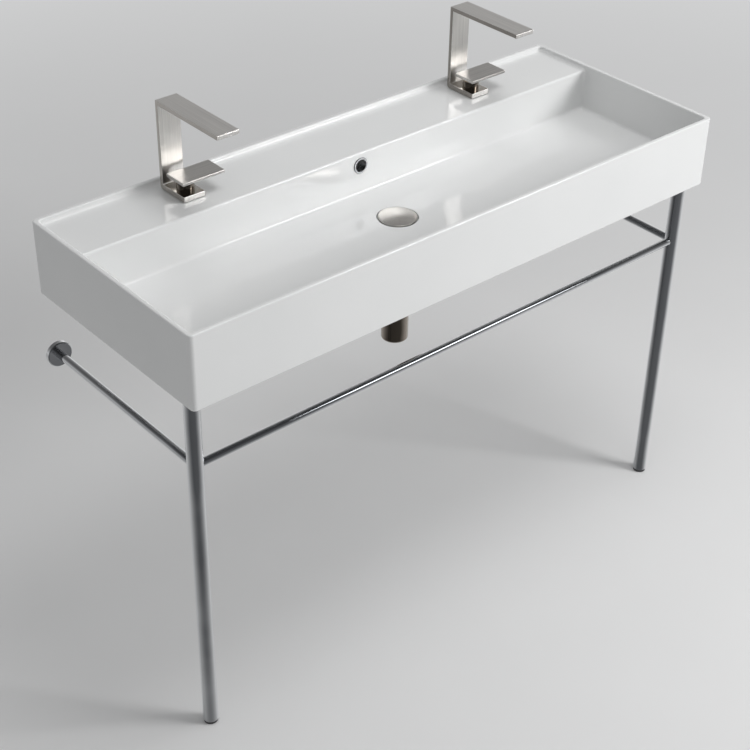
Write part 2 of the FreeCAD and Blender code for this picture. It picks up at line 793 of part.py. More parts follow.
mixer_pieces = {"body": mixer_body, "outlet": spout_outlet, "base_gasket": base_gasket,
                "shank": mixer_shank, "clamp_washer": clamp_washer, "clamp_nut": clamp_nut,
                "cartridge": cartridge, "collar": collar, "turret": turret, "pivot_pin": pivot_pin,
                "spindle": spindle, "lever": lever, "lever_grub": lever_grub}

single_pieces = {"basin": basin, "overflow_ring": overflow_ring, "drain_body": drain_body,
                 "push_guide": push_guide, "drain_cap": drain_cap, "cap_seal": cap_seal,
                 "drain_gasket": drain_gasket,
                 "waste_washer": waste_washer, "back_nut": back_nut, "inlet_nut": inlet_nut,
                 "inlet_washer": inlet_washer, "inlet_tube": inlet_tube, "trap_top_nut": trap_top_nut,
                 "trap_head": trap_head, "trap_seal": trap_seal, "trap_cup": trap_cup,
                 "outlet_washer": outlet_washer, "outlet_nut": outlet_nut, "outlet_pipe": outlet_pipe,
                 "wall_rosette": wall_rosette, "leg_plugs": leg_plugs, "leg_pads": leg_pads,
                 "foot_inserts": foot_inserts, "front_rail": front_rail, "rail_pins": rail_pins,
                 "wall_plates": wall_plates}

sided_pieces = {"leg": leg, "foot": foot, "side_rail": side_rail, "flange_cover": flange_cover}


def export(name, shape):
    shape.exportStep("parts/" + name + ".step")


os.makedirs("parts", exist_ok=True)
for name, make in single_pieces.items():
    export(name, make())
for side_name, side_sign in sides.items():
    for name, make in sided_pieces.items():
        export(name + "_" + side_name, make(side_sign))
    for name, make in mixer_pieces.items():
        piece = make()
        piece.translate(FreeCAD.Vector(side_sign * mixer_spacing / 2, mixer_y, deck_top))
        export("mixer_" + side_name + "_" + name, piece)
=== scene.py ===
import json
import math

import bmesh
import bpy
from mathutils import Matrix, Quaternion, Vector


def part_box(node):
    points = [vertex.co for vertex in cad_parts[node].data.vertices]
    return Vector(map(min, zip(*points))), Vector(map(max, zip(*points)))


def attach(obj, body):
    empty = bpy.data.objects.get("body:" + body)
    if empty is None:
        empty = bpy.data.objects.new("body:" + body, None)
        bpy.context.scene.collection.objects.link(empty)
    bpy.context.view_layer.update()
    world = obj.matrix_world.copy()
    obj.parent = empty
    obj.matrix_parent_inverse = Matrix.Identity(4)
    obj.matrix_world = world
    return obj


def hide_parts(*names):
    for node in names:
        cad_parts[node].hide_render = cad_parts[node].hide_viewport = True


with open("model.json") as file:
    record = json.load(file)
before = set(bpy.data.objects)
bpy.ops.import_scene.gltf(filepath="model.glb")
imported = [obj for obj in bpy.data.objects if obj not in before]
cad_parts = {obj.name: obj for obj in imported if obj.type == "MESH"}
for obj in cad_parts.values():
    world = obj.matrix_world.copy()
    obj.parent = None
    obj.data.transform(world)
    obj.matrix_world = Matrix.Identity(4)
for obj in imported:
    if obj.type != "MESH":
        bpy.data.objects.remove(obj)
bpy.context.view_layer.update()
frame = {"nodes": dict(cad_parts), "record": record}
parts = frame["nodes"]
record = frame["record"]
bodyOf = {node: body for body, nodes in record["behaviour"]["bodies"].items() for node in nodes}
slotOf = {row["node"]: row["material_slot"] for row in record["subparts"]}
sides = {"left": -1, "right": 1}
up = Vector((0, 0, 1))
toWall = Vector((0, 1, 0))
toRight = Vector((1, 0, 0))
closeBy = 1e-6  # points nearer than this are one point
slack = 1e-4  # play in comparing heights
cornerTurn = 1.0  # radians; an edge that turns more is a corner
noiseLow, noiseHigh = 0.3, 0.7  # most of a noise texture lies between these
dressed = set()  # nodes that a finer piece stands for


# Helpers for meshes

def near(a, b):
    return abs(a - b) < closeBy


def middle(node):
    low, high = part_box(node)
    return (low + high) / 2


def madeVerts(made):
    return [g for g in made if isinstance(g, bmesh.types.BMVert)]


def madeFaces(made):
    return [g for g in made if isinstance(g, bmesh.types.BMFace)]


def cornerEdges(bm):
    return [e for e in bm.edges if e.calc_face_angle(0) > cornerTurn]


def flatFaces(bm, axis, height):
    return [f for f in bm.faces if all(near(v.co[axis], height) for v in f.verts)]


def soften(bm, edges, offset, segments):
    bmesh.ops.bevel(bm, geom=edges, offset=offset, offset_type="OFFSET", segments=segments, profile=0.5,
                    affect="EDGES", clamp_overlap=False, material=-1)


def drawLine(bm, corners, closed=False, segments=6):
    # corners are (point, round), and a round above zero turns its corner into an arc
    old = set(bm.edges)
    verts = [bm.verts.new(point) for point, turn in corners]
    for a, b in zip(verts, verts[1:]):
        bm.edges.new((a, b))
    if closed:
        bm.edges.new((verts[-1], verts[0]))
    for vert, (point, turn) in zip(verts, corners):
        if turn > 0:
            bmesh.ops.bevel(bm, geom=[vert], offset=turn, offset_type="OFFSET", segments=segments,
                            profile=0.5, affect="VERTICES", material=-1)
    return [e for e in bm.edges if e not in old]


def turned(outline, at, along=up, closed=False, steps=72, segments=5, bm=None):
    # spins an outline of (radius, height, round) and stands it at a point, along a direction
    bm = bmesh.new() if bm is None else bm
    old = set(bm.verts)
    line = drawLine(bm, [(Vector((r, 0, h)), turn) for r, h, turn in outline], closed, segments)
    line += list({v for e in line for v in e.verts})
    bmesh.ops.spin(bm, geom=line, cent=(0, 0, 0), axis=up, angle=2 * math.pi, steps=steps, use_merge=True)
    stand = Matrix.Translation(at) @ up.rotation_difference(along).to_matrix().to_4x4()
    bmesh.ops.transform(bm, matrix=stand, verts=[v for v in bm.verts if v not in old])
    return bm


def tube(radius, start, end, wall, edge=0.0):
    return ((radius, start, edge), (radius, end, edge), (radius - wall, end, 0), (radius - wall, start, 0))


def pullOut(bm, edges, move=(0, 0, 0), grow=1.0, about=None):
    # draws a run of edges on into a strip of faces
    made = bmesh.ops.extrude_edge_only(bm, edges=edges)["geom"]
    verts = madeVerts(made)
    if about is not None:
        bmesh.ops.scale(bm, verts=verts, vec=(grow, grow, grow), space=Matrix.Translation(-about))
    bmesh.ops.translate(bm, verts=verts, vec=move)
    return [g for g in made if isinstance(g, bmesh.types.BMEdge)]


def pushFaces(bm, faces, rise):
    # pushes faces up or down, draws the walls beside them and gives back the moved faces
    made = bmesh.ops.extrude_face_region(bm, geom=faces)["geom"]
    bmesh.ops.delete(bm, geom=faces, context="FACES")
    bmesh.ops.translate(bm, verts=madeVerts(made), vec=(0, 0, rise))
    return madeFaces(made)


def sliceFaces(bm, faces, axis, cuts):
    # cuts faces along planes square to an axis and gives back all the cells
    square = Vector((0, 0, 0))
    square[axis] = 1
    for cut in cuts:
        geom = list({g for f in faces for g in (f, *f.edges, *f.verts)})
        made = bmesh.ops.bisect_plane(bm, geom=geom, dist=closeBy, plane_co=square * cut, plane_no=square)
        faces = madeFaces(made["geom"])
    return faces


def boreHole(bm, faces, centre, axis, half, radius, cuts=11):
    # opens a round hole in the square cell around a centre and gives back its edges and the other cells
    across = [i for i in range(3) if i != axis]
    for i in across:
        faces = sliceFaces(bm, faces, i, (centre[i] - half, centre[i] + half))
    patch = [f for f in faces if all(abs(f.calc_center_median()[i] - centre[i]) < half for i in across)]
    others = [f for f in faces if f not in patch]
    rim = []
    for edge in {e for f in patch for e in f.edges}:
        start = edge.verts[0]
        for left in range(cuts, 0, -1):
            piece, start = bmesh.utils.edge_split(edge, start, 1 / (left + 1))
            rim.append(piece)
        rim.append(edge)
    bmesh.ops.delete(bm, geom=patch, context="FACES_ONLY")
    hole = pullOut(bm, rim)
    for v in {v for e in hole for v in e.verts}:
        u, w = (v.co[i] - centre[i] for i in across)
        wide = abs(u) >= abs(w)
        # the square's outline is carried onto the circle; the turn is in eighths of a circle
        turn = (w / u if wide else 2 - u / w) + (4 if (u if wide else w) < 0 else 0)
        v.co[across[0]] = centre[across[0]] + radius * math.cos(turn * math.pi / 4)
        v.co[across[1]] = centre[across[1]] + radius * math.sin(turn * math.pi / 4)
    return hole, others


def place(name, bm, finish, node, sharp=40, level=True):
    # closes the mesh, gives it its finish and lets it stand for a node
    bmesh.ops.remove_doubles(bm, verts=bm.verts[:], dist=closeBy)
    bmesh.ops.recalc_face_normals(bm, faces=bm.faces[:])
    for face in bm.faces:
        face.smooth = True
    for edge in bm.edges:
        edge.smooth = edge.calc_face_angle(math.pi) < math.radians(sharp)
    mesh = bpy.data.meshes.new(name)
    bm.to_mesh(mesh)
    bm.free()
    mesh.materials.append(finish)
    piece = bpy.data.objects.new(name, mesh)
    bpy.context.scene.collection.objects.link(piece)
    if level:
        piece.modifiers.new("levelFaces", "WEIGHTED_NORMAL").keep_sharp = True
    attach(piece, bodyOf[node])
    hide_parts(node)
    dressed.add(node)
    return piece


# Helpers for finishes

def newFinish(name, **sockets):
    # a principled material with its even values set
    finish = bpy.data.materials.new(name)
    finish.use_nodes = True
    shader = finish.node_tree.nodes["Principled BSDF"]
    for socket, value in sockets.items():
        shader.inputs[socket].default_value = value
    return finish


def addNode(owner, kind, links, **settings):
    # adds a node, sets what is named, and fills its inputs with values or with links from other nodes
    node = owner.node_tree.nodes.new(kind)
    for key, value in settings.items():
        setattr(node, key, value)
    for socket, value in links.items():
        if isinstance(value, bpy.types.NodeSocket):
            owner.node_tree.links.new(value, node.inputs[socket])
        else:
            node.inputs[socket].default_value = value
    return node


def feed(finish, output, socket):
    shader = finish.node_tree.nodes["Principled BSDF"]
    finish.node_tree.links.new(output, shader.inputs[socket])


def grain(finish, stretch, detail=3.0, rough=0.55):
    # noise in object space; stretch is how many grains there are to a metre, along each axis
    coords = addNode(finish, "ShaderNodeTexCoord", {})
    mapping = addNode(finish, "ShaderNodeMapping", {"Vector": coords.outputs["Object"], "Scale": stretch})
    noise = addNode(finish, "ShaderNodeTexNoise", {"Vector": mapping.outputs["Vector"], "Scale": 1.0,
                                                   "Detail": detail, "Roughness": rough})
    return noise.outputs["Fac"]


def varyRoughness(finish, factor, low, high):
    spread = addNode(finish, "ShaderNodeMapRange", {"Value": factor, "From Min": noiseLow,
                                                    "From Max": noiseHigh, "To Min": low, "To Max": high})
    feed(finish, spread.outputs["Result"], "Roughness")


def varyColour(finish, factor, dark, light):
    ramp = addNode(finish, "ShaderNodeValToRGB", {"Fac": factor})
    ramp.color_ramp.elements[0].position = noiseLow
    ramp.color_ramp.elements[0].color = (*dark, 1)
    ramp.color_ramp.elements[1].position = noiseHigh
    ramp.color_ramp.elements[1].color = (*light, 1)
    feed(finish, ramp.outputs["Color"], "Base Color")


def paintReflectionByAngle(finish, factor, face, edge, share=0.12):
    # polished metal mirrors more at a glancing angle, and on top of that a painted reflection runs from a
    # dark face to a bright edge; a small share of the factor is mixed in
    weight = addNode(finish, "ShaderNodeLayerWeight", {"Blend": 0.5})
    tone = addNode(finish, "ShaderNodeMath", {0: factor, 1: share, 2: weight.outputs["Facing"]},
                   operation="MULTIPLY_ADD")
    varyColour(finish, tone.outputs[0], face, edge)


def relief(finish, factor, strength, depth):
    bump = addNode(finish, "ShaderNodeBump", {"Height": factor, "Strength": strength, "Distance": depth})
    feed(finish, bump.outputs["Normal"], "Normal")


def lookedAt(owner):
    # one where the eye, or a mirror or glass on its way, meets the surface
    path = addNode(owner, "ShaderNodeLightPath", {})
    shiny = addNode(owner, "ShaderNodeMath", {0: path.outputs["Is Glossy Ray"],
                                              1: path.outputs["Is Transmission Ray"]}, operation="MAXIMUM")
    seen = addNode(owner, "ShaderNodeMath", {0: path.outputs["Is Camera Ray"], 1: shiny.outputs[0]},
                   operation="MAXIMUM")
    return seen.outputs[0]


# Finishes; colours are given as dark and light, or as face and edge for polished metal, where face and edge
# are a painted reflection

ceramicMake = {"dark": (0.785, 0.792, 0.79), "light": (0.81, 0.815, 0.812)}
# chrome: the dark face colour is a painted dark reflection and the bright edge colour a painted bright
# reflection
chromeMake = {"face": (0.11, 0.114, 0.121), "edge": (0.82, 0.83, 0.845)}
stripMetal = {"stretch": (800, 6, 6), "dark": (0.60, 0.585, 0.565), "light": (0.81, 0.79, 0.762)}
leverMetal = {"stretch": (6, 800, 800), "dark": (0.44, 0.427, 0.41), "light": (0.62, 0.602, 0.578)}
capMetal = {"dark": (0.66, 0.635, 0.60), "light": (0.76, 0.735, 0.70)}
# polished nickel of the trap and collars: the near-black face colour is a painted dark reflection, the edge
# colour a painted bright reflection
nickelMake = {"face": (0.04, 0.034, 0.028), "edge": (0.42, 0.37, 0.32)}
# flanks and base top of the mixers: the dark face colour is a painted dark reflection, the edge colour a
# painted bright reflection
flankMake = {"face": (0.20, 0.185, 0.168), "edge": (0.66, 0.63, 0.59)}
brassMake = {"stretch": (60, 60, 900), "dark": (0.56, 0.43, 0.22), "light": (0.66, 0.52, 0.29)}
steelMake = {"stretch": (500, 500, 40), "dark": (0.46, 0.46, 0.47), "light": (0.56, 0.56, 0.57)}
rubberMake = {"dark": (0.028, 0.028, 0.029), "light": (0.045, 0.045, 0.046), "low": 0.6, "high": 0.78}
darkMake = {"dark": (0.022, 0.022, 0.024), "light": (0.038, 0.038, 0.04), "low": 0.38, "high": 0.52}
whiteMake = {"dark": (0.74, 0.74, 0.72), "light": (0.82, 0.82, 0.80), "low": 0.34, "high": 0.46}


def glazedCeramic(dark, light):
    finish = newFinish("glazedCeramic", IOR=1.5)
    varyColour(finish, grain(finish, (5, 5, 5), detail=2.0), dark, light)
    varyRoughness(finish, grain(finish, (14, 14, 14), detail=4.0), low=0.08, high=0.12)
    wave = grain(finish, (40, 40, 40), detail=2.0, rough=0.4)
    relief(finish, wave, strength=0.008, depth=0.0006)  # the glaze is not quite even
    return finish


def polishedChrome(face, edge):
    finish = newFinish("polishedChrome", Metallic=1.0)
    # painted reflection: dark face-on, bright at the edges
    paintReflectionByAngle(finish, grain(finish, (9, 9, 9), detail=2.0), face, edge)
    varyRoughness(finish, grain(finish, (160, 160, 30), detail=4.0, rough=0.7), low=0.01, high=0.04)
    relief(finish, grain(finish, (420, 420, 60)), strength=0.012, depth=0.0002)
    return finish


def brushedNickel(name, stretch, dark, light):
    finish = newFinish(name, Metallic=1.0)
    streak = grain(finish, stretch, detail=4.0, rough=0.65)
    varyColour(finish, streak, dark, light)
    varyRoughness(finish, streak, low=0.29, high=0.38)
    relief(finish, streak, strength=0.012, depth=0.0002)
    return finish


def turnedNickel(centre, dark, light):
    # turned on a lathe: fine rings about the centre, and a highlight that fans out from it
    finish = newFinish("turnedNickel", Metallic=1.0, Anisotropic=0.8)
    coords = addNode(finish, "ShaderNodeTexCoord", {})
    mapping = addNode(finish, "ShaderNodeMapping", {"Vector": coords.outputs["Object"],
                                                    "Location": tuple(-centre)})
    rings = addNode(finish, "ShaderNodeTexWave", {"Vector": mapping.outputs["Vector"], "Scale": 240.0,
                                                  "Distortion": 3.0, "Detail": 3.0, "Detail Scale": 2.0},
                    wave_type="RINGS", rings_direction="Z").outputs["Fac"]
    varyColour(finish, rings, dark, light)
    varyRoughness(finish, rings, low=0.15, high=0.23)
    relief(finish, rings, strength=0.08, depth=0.0002)
    tangent = addNode(finish, "ShaderNodeTangent", {}, direction_type="RADIAL", axis="Z")
    feed(finish, tangent.outputs["Tangent"], "Tangent")
    return finish


def polishedNickel(name, face, edge):
    finish = newFinish(name, Metallic=1.0)
    # painted reflection: dark face-on, bright at the edges
    paintReflectionByAngle(finish, grain(finish, (14, 14, 14), detail=2.0), face, edge)
    line = grain(finish, (60, 60, 700), rough=0.6)
    varyRoughness(finish, line, low=0.06, high=0.14)
    relief(finish, line, strength=0.04, depth=0.0002)
    return finish


def plainMetal(name, stretch, dark, light):
    finish = newFinish(name, Metallic=1.0)
    streak = grain(finish, stretch, detail=4.0, rough=0.6)
    varyColour(finish, streak, dark, light)
    varyRoughness(finish, streak, low=0.26, high=0.42)
    relief(finish, streak, strength=0.1, depth=0.0003)
    return finish


def moulded(name, dark, light, low, high):
    finish = newFinish(name)
    varyColour(finish, grain(finish, (60, 60, 60), detail=2.0), dark, light)
    pit = grain(finish, (900, 900, 900), rough=0.6)
    varyRoughness(finish, pit, low, high)
    relief(finish, pit, strength=0.12, depth=0.0003)
    return finish


drainAt = middle("drain_cap")
finishes = {
    "glazed_ceramic": glazedCeramic(**ceramicMake),
    "chrome": polishedChrome(**chromeMake),
    "brushed_nickel": brushedNickel("brushedStrip", **stripMetal),
    "polished_nickel": polishedNickel("polishedNickel", **nickelMake),
    "brass": plainMetal("turnedBrass", **brassMake),
    "steel": plainMetal("plainSteel", **steelMake),
    "rubber": moulded("blackRubber", **rubberMake),
    "dark_plastic": moulded("darkPlastic", **darkMake),
    "white_plastic": moulded("whitePlastic", **whiteMake),
}
brushedLever = brushedNickel("brushedLever", **leverMetal)
paintedReflectionFlank = polishedNickel("paintedReflectionFlank", **flankMake)
turnedCap = turnedNickel(drainAt, **capMetal)
print("finishes:", len(finishes), "by slot")


# Basin

basinMake = {
    "rimWall": 0.009, "rimRound": 0.0025, "rimSteps": 4, "outerRound": 0.009,
    "endRound": 0.006, "endSteps": 5,
    "deckLength": 0.138, "deckDrop": 0.010, "deckEdge": 0.004, "deckBack": 0.007,
    "bowlDepth": 0.094, "floorRound": 0.007,
    "dishFall": 0.004, "dishReach": 0.043, "dishCells": 14, "dishCellsAcross": 5,
    "skin": 0.012, "skirt": 0.014, "bottomRound": 0.002, "bottomSteps": 2, "legPad": 0.030,
    "capWell": 0.0388, "flangeDrop": 0.008, "drainHole": 0.0225, "drainCell": 0.028, "drainCuts": 15,
    "overflowHole": 0.0134, "overflowCell": 0.0175,
    "ductHalf": 0.0385, "ductDepth": 0.028, "ductDown": 0.075, "ductRun": 0.019, "ductWiden": 1.6,
    "tapHole": 0.0175, "tapCell": 0.021,
    "boltHole": 0.007, "boltCell": 0.011, "boltCuts": 7, "boltX": 0.420, "boltDrop": 0.062,
}
basinLow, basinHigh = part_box("basin")  # these lines of the basin are used by several steps
endX = basinHigh.x - basinMake["rimWall"]
frontY, backY = basinLow.y + basinMake["rimWall"], basinHigh.y - basinMake["rimWall"]
deckY, deckZ = basinHigh.y - basinMake["deckLength"], basinHigh.z - basinMake["deckDrop"]
floorZ = basinHigh.z - basinMake["bowlDepth"]
dishZ = floorZ - basinMake["dishFall"]
underFloor, underDeck = dishZ - basinMake["skin"], deckZ - basinMake["skin"]
skirtY = basinHigh.y - basinMake["skirt"]
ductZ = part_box("waste_washer")[1].z


def drawBowl(bm):
    # bowl and deck are one outline, carried along the basin and drawn in towards both ends
    m = basinMake
    step = 90 // m["endSteps"]
    stations = [(-1, a) for a in range(90, -1, -step)] + [(1, a) for a in range(0, 91, step)]
    last = []
    for sign, angle in stations:
        drawIn = m["endRound"] * (1 - math.cos(math.radians(angle)))
        x = sign * (endX - m["endRound"] * (1 - math.sin(math.radians(angle))))
        outline = ((frontY + drawIn, basinHigh.z, 0),
                   (frontY + drawIn, floorZ + drawIn, m["floorRound"] - drawIn),
                   (deckY - drawIn, floorZ + drawIn, m["floorRound"] - drawIn),
                   (deckY - drawIn, deckZ + drawIn, m["deckEdge"] + drawIn),
                   (backY - drawIn, deckZ + drawIn, m["deckBack"] - drawIn),
                   (backY - drawIn, basinHigh.z, 0))
        line = drawLine(bm, [(Vector((x, y, z)), turn) for y, z, turn in outline])
        if last:
            bmesh.ops.bridge_loops(bm, edges=last + line)
        if angle == 90:
            top = bm.edges.new([v for e in line for v in e.verts if near(v.co.z, basinHigh.z)])
            bmesh.ops.edgeloop_fill(bm, edges=line + [top])
        last = line


def drawWalls(bm):
    # the rim is drawn out from the edge of the hollow, then down into the outer walls and the bottom
    m = basinMake
    low, high = basinLow, basinHigh
    outer = pullOut(bm, [e for e in bm.edges if e.is_boundary])
    loop = {v for e in outer for v in e.verts}
    grow = m["outerRound"] / m["endRound"]
    for signX in (-1, 1):
        for signY in (-1, 1):
            corner = [v for v in loop if v.co.x * signX > 0 and v.co.y * signY > 0]
            inHub = Vector((signX * (endX - m["endRound"]), signY * (backY - m["endRound"]), high.z))
            outX, outY = high.x - m["outerRound"], high.y - m["outerRound"]
            outHub = Vector((signX * outX, signY * outY, high.z))
            bmesh.ops.scale(bm, verts=corner, vec=(grow, grow, 1), space=Matrix.Translation(-inHub))
            bmesh.ops.translate(bm, verts=corner, vec=outHub - inHub)
    bottom = pullOut(bm, outer, move=(0, 0, low.z - high.z))
    bmesh.ops.edgeloop_fill(bm, edges=bottom)
    level = [e for e in cornerEdges(bm) if near(e.verts[0].co.z, e.verts[1].co.z)]
    rims = [e for e in level if near(e.verts[0].co.z, low.z) or near(e.verts[0].co.z, high.z)]
    soften(bm, rims, m["rimRound"], m["rimSteps"])


def hollowBelow(bm):
    # the bottom is cut into cells, and the hollow ones are pushed up in three steps
    m = basinMake
    leg = middle("leg_right")
    sideX, skinY = basinHigh.x - m["skin"], basinLow.y + m["skin"]
    blockX, blockY = leg.x - m["legPad"], leg.y + m["legPad"]
    wallBack = deckY + m["skin"]
    ductFront, ductBack = drainAt.y - m["ductHalf"], wallBack + m["ductDepth"]

    def ceiling(spot):
        if abs(spot.x) > sideX or not skinY < spot.y < skirtY:
            return basinLow.z
        if abs(spot.x) > blockX and spot.y < blockY:
            return basinLow.z
        if abs(spot.x) < m["ductHalf"] and ductFront < spot.y < ductBack:
            return ductZ
        return underDeck if spot.y > wallBack else underFloor

    cells = flatFaces(bm, 2, basinLow.z)
    cells = sliceFaces(bm, cells, 0, [s * x for x in (sideX, blockX, m["ductHalf"]) for s in (-1, 1)])
    cells = sliceFaces(bm, cells, 1, (skinY, blockY, ductFront, wallBack, ductBack, skirtY))
    reached = basinLow.z
    for height in (ductZ, underFloor, underDeck):
        hollow = [f for f in cells if ceiling(f.calc_center_median()) > height - closeBy]
        cells = pushFaces(bm, hollow, height - reached)
        reached = height
    bmesh.ops.recalc_face_normals(bm, faces=bm.faces[:])
    highest = underDeck + slack
    inside = [e for e in cornerEdges(bm) if all(v.co.z < highest for v in e.verts)]
    soften(bm, inside, m["bottomRound"], m["bottomSteps"])


def dishFloor(bm):
    # the floor falls to the waste in one smooth dish
    m = basinMake
    reach = m["dishReach"]
    wideX, wideFront, wideBack = endX - m["endRound"], frontY + m["floorRound"], deckY - m["floorRound"]
    dishFront, dishBack = drainAt.y - reach, drainAt.y + reach
    floor = flatFaces(bm, 2, floorZ)
    steps = [i / m["dishCells"] for i in range(m["dishCells"])]
    floor = sliceFaces(bm, floor, 0, [s * (reach + (wideX - reach) * t) for t in steps for s in (-1, 1)])
    steps = [i / m["dishCellsAcross"] for i in range(m["dishCellsAcross"])]
    floor = sliceFaces(bm, floor, 1, [dishFront + (wideFront - dishFront) * t for t in steps])
    floor = sliceFaces(bm, floor, 1, [dishBack + (wideBack - dishBack) * t for t in steps])
    for v in {v for f in floor for v in f.verts}:
        aside = max(abs(v.co.x) - reach, 0) / (wideX - reach)
        before = (dishFront - v.co.y) / (dishFront - wideFront)
        behind = (v.co.y - dishBack) / (wideBack - dishBack)
        away = min(math.hypot(aside, max(before, behind, 0)), 1)
        v.co.z -= m["dishFall"] * (0.5 + 0.5 * math.cos(math.pi * away))
    return floor


def boreWaste(bm, floor):
    # a well for the cap and the flange, and the hole down through the boss
    m = basinMake
    centre = Vector((0, drainAt.y, dishZ))
    seat = centre - up * m["flangeDrop"]
    hole = boreHole(bm, floor, centre, 2, m["dishReach"], m["capWell"], m["drainCuts"])[0]
    hole = pullOut(bm, hole, move=(0, 0, -m["flangeDrop"]))
    hole = pullOut(bm, hole, grow=m["drainHole"] / m["capWell"], about=seat)
    pullOut(bm, hole, move=(0, 0, ductZ - seat.z))
    below = Vector((0, drainAt.y, ductZ))
    boreHole(bm, flatFaces(bm, 2, ductZ), below, 2, m["drainCell"], m["drainHole"], m["drainCuts"])


def boreOverflow(bm):
    # the hole widens behind the wall and runs down towards the waste
    m = basinMake
    centre = Vector((0, deckY, middle("overflow_ring").z))
    hole = boreHole(bm, flatFaces(bm, 1, deckY), centre, 1, m["overflowCell"], m["overflowHole"])[0]
    hole = pullOut(bm, hole, move=(0, m["skin"], 0))
    hole = pullOut(bm, hole)
    ring = {v for e in hole for v in e.verts}
    bmesh.ops.scale(bm, verts=list(ring), vec=(m["ductWiden"], 1, 1))
    lower = [v for v in ring if v.co.z < centre.z - slack]
    bmesh.ops.translate(bm, verts=lower, vec=(0, 0, -m["ductDown"]))
    hole = pullOut(bm, hole, move=(0, m["ductRun"], 0))
    bmesh.ops.edgeloop_fill(bm, edges=hole)


def boreFixings(bm):
    # tap holes in the deck and bolt holes in the back skirt
    m = basinMake
    deck, belowDeck = flatFaces(bm, 2, deckZ), flatFaces(bm, 2, underDeck)
    skirt, skirtIn = flatFaces(bm, 1, basinHigh.y), flatFaces(bm, 1, skirtY)
    for side, sign in sides.items():
        tap = middle(f"mixer_{side}_shank")
        tap.z = deckZ
        hole, deck = boreHole(bm, deck, tap, 2, m["tapCell"], m["tapHole"])
        pullOut(bm, hole, move=(0, 0, underDeck - deckZ))
        tap.z = underDeck
        hole, belowDeck = boreHole(bm, belowDeck, tap, 2, m["tapCell"], m["tapHole"])
        bolt = Vector((sign * m["boltX"], basinHigh.y, basinHigh.z - m["boltDrop"]))
        hole, skirt = boreHole(bm, skirt, bolt, 1, m["boltCell"], m["boltHole"], m["boltCuts"])
        pullOut(bm, hole, move=(0, skirtY - basinHigh.y, 0))
        bolt.y = skirtY
        hole, skirtIn = boreHole(bm, skirtIn, bolt, 1, m["boltCell"], m["boltHole"], m["boltCuts"])


def makeBasin():
    bm = bmesh.new()
    drawBowl(bm)
    drawWalls(bm)
    hollowBelow(bm)
    boreWaste(bm, dishFloor(bm))
    boreOverflow(bm)
    boreFixings(bm)
    return place("basinShell", bm, finishes["glazed_ceramic"], "basin")


basin = makeBasin()
print("basin:", len(basin.data.polygons), "faces")


# Overflow ring and drain cap

overflowMake = {"face": 0.0158, "bore": 0.0118, "sleeve": 0.0132, "faceDepth": 0.002, "lip": 0.0009}


def makeOverflow():
    m = overflowMake
    low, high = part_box("overflow_ring")
    depth = high.y - low.y
    outline = ((m["bore"], 0, m["lip"]), (m["face"], 0, m["lip"]), (m["face"], m["faceDepth"], 0),
               (m["sleeve"], m["faceDepth"], 0), (m["sleeve"], depth, 0), (m["bore"], depth, 0))
    bm = turned(outline, Vector((0, low.y, middle("overflow_ring").z)), toWall, closed=True)
    return place("overflowRim", bm, finishes["chrome"], "overflow_ring")


capMake = {"edgeHeight": 0.0025, "edgeRound": 0.0006, "stem": 0.005, "domeSteps": 9}


def makeCap():
    m = capMake
    low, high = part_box("drain_cap")
    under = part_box("cap_seal")[1].z
    wide, shoulder = high.x, under + m["edgeHeight"]
    dome = high.z - shoulder
    sphere = (wide ** 2 + dome ** 2) / (2 * dome)
    spots = [wide * i / m["domeSteps"] for i in range(m["domeSteps"])]
    outline = [(r, high.z - sphere + math.sqrt(sphere ** 2 - r ** 2), 0) for r in spots]
    outline += [(wide, shoulder, m["edgeRound"]), (wide, under, m["edgeRound"]), (m["stem"], under, 0),
                (m["stem"], low.z, m["edgeRound"]), (0, low.z, 0)]
    bm = turned(outline, Vector((0, drainAt.y, 0)), steps=96)
    return place("drainCapDome", bm, turnedCap, "drain_cap", level=False)


makeOverflow()
makeCap()
print("overflow ring and drain cap")


# Mixers

stripMake = {"thick": 0.008, "bend": 0.006, "edge": 0.0011, "edgeSteps": 3,
             "bore": 0.013, "boreCell": 0.018, "sideways": 0.9}


